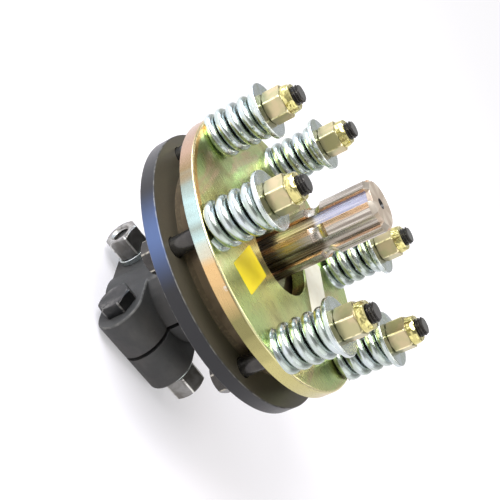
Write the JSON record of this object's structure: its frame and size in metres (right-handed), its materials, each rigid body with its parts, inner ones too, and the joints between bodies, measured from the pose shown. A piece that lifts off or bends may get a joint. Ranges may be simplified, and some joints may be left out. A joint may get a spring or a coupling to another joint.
{
  "type": "friction torque limiter",
  "caption": "In-line friction torque limiter: splined clamp hub with flange, friction discs round a drive plate on a splined stub, and a pressure plate held by coil springs on bolts.",
  "frame": {"origin": "centre of the spline bore at the end face of the clamp hub, on which the part stands", "axes": "+Z along the main axis from the hub end to the free end of the splined stub, -Y towards the side that the picture shows"},
  "size_m": [0.196, 0.186, 0.185],
  "materials": {
    "black_casting": "black oiled casting with worn edges",
    "bearing_bronze": "sintered bronze",
    "friction_lining": "matt brown lining",
    "dull_steel": "dull brown steel",
    "machined_steel": "bare machined steel",
    "yellow_zinc": "yellow passivated zinc with a rainbow tint",
    "bright_zinc": "bright zinc",
    "black_bolt": "black oxide",
    "olive_zinc": "yellow zinc",
    "grey_steel": "dull grey steel",
    "yellow_vinyl": "bare yellow sticker",
    "white_paper": "bare white sticker"
  },
  "bodies": {
    "hub": {"clamp_hub": "black_casting", "pilot_bush": "bearing_bronze", "spring_bolts": "black_bolt", "spring_nuts": "olive_zinc", "spring_washers": "bright_zinc", "spring_1": "bright_zinc", "spring_2": "bright_zinc", "spring_3": "bright_zinc", "spring_4": "bright_zinc", "spring_5": "bright_zinc", "spring_6": "bright_zinc", "clamp_bolts": "black_bolt", "clamp_washers": "bright_zinc", "clamp_nuts": "grey_steel"},
    "shaft": {"splined_shaft": "machined_steel", "drive_plate": "dull_steel", "rear_friction_disc": "friction_lining", "front_friction_disc": "friction_lining"},
    "plate": {"pressure_plate": "yellow_zinc", "yellow_label": "yellow_vinyl", "white_label": "white_paper"}
  },
  "joints": [
    {"name": "shaft_slip", "type": "hinge", "parent": "hub", "child": "shaft", "pos_m": [0, 0, 0], "axis": [0, 0, 1], "continuous": true},
    {"name": "plate_lift", "type": "slide", "parent": "hub", "child": "plate", "axis": [0, 0, 1], "range_m": [0, 0.003], "stiffness_N_per_m": 50000, "springref_m": -0.004, "deforming": ["spring_1", "spring_2", "spring_3", "spring_4", "spring_5", "spring_6"]}
  ]
}
